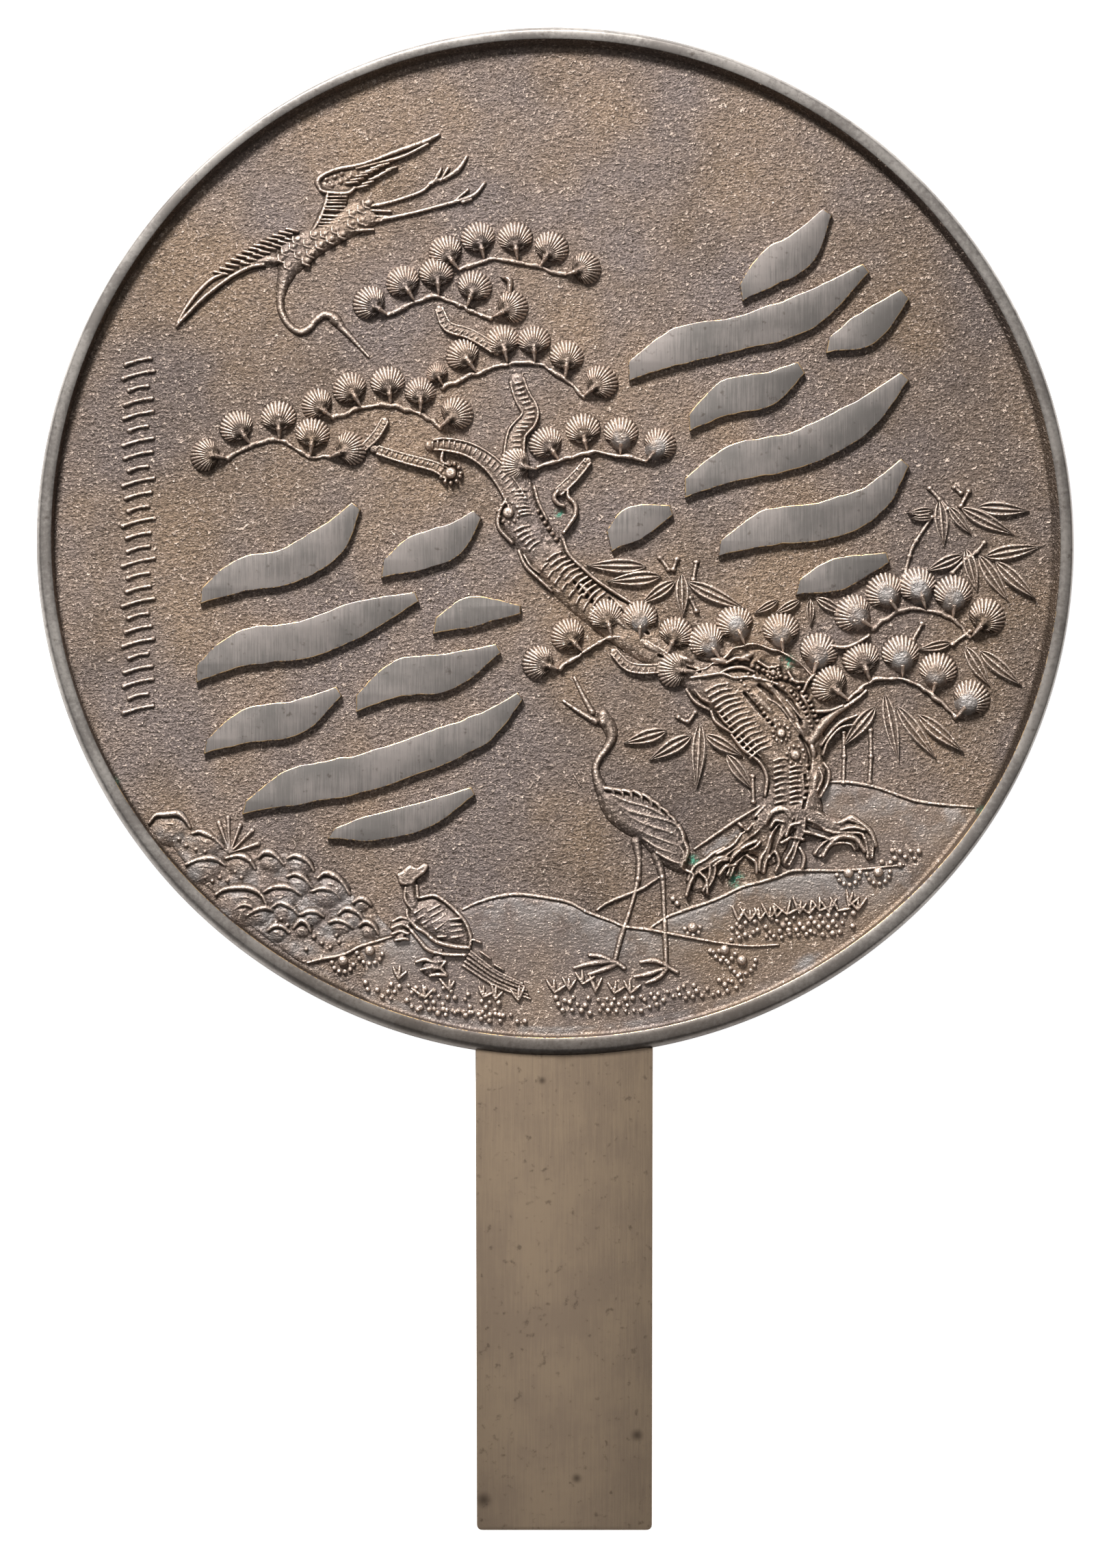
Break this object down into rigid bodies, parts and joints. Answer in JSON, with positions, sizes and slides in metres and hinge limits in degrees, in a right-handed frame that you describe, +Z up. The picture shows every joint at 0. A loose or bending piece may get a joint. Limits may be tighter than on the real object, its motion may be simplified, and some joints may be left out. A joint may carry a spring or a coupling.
{
  "type": "ancient bronze mirror",
  "caption": "Cast bronze hand mirror: a flat disc with a raised rim and a strap handle, its back in relief with pine, cranes, turtle and brush strokes.",
  "frame": {"origin": "centre of the disc on the polished face, which lies downwards", "axes": "+X to the right and +Y away from the handle as the decorated back is seen from above, +Z up through the back"},
  "size_m": [0.24, 0.348, 0.0055],
  "materials": {
    "bronze": "cast bronze with an old brown patina, worn coppery on the high points"
  },
  "bodies": {
    "root": {"mirror": "bronze"}
  },
  "joints": []
}
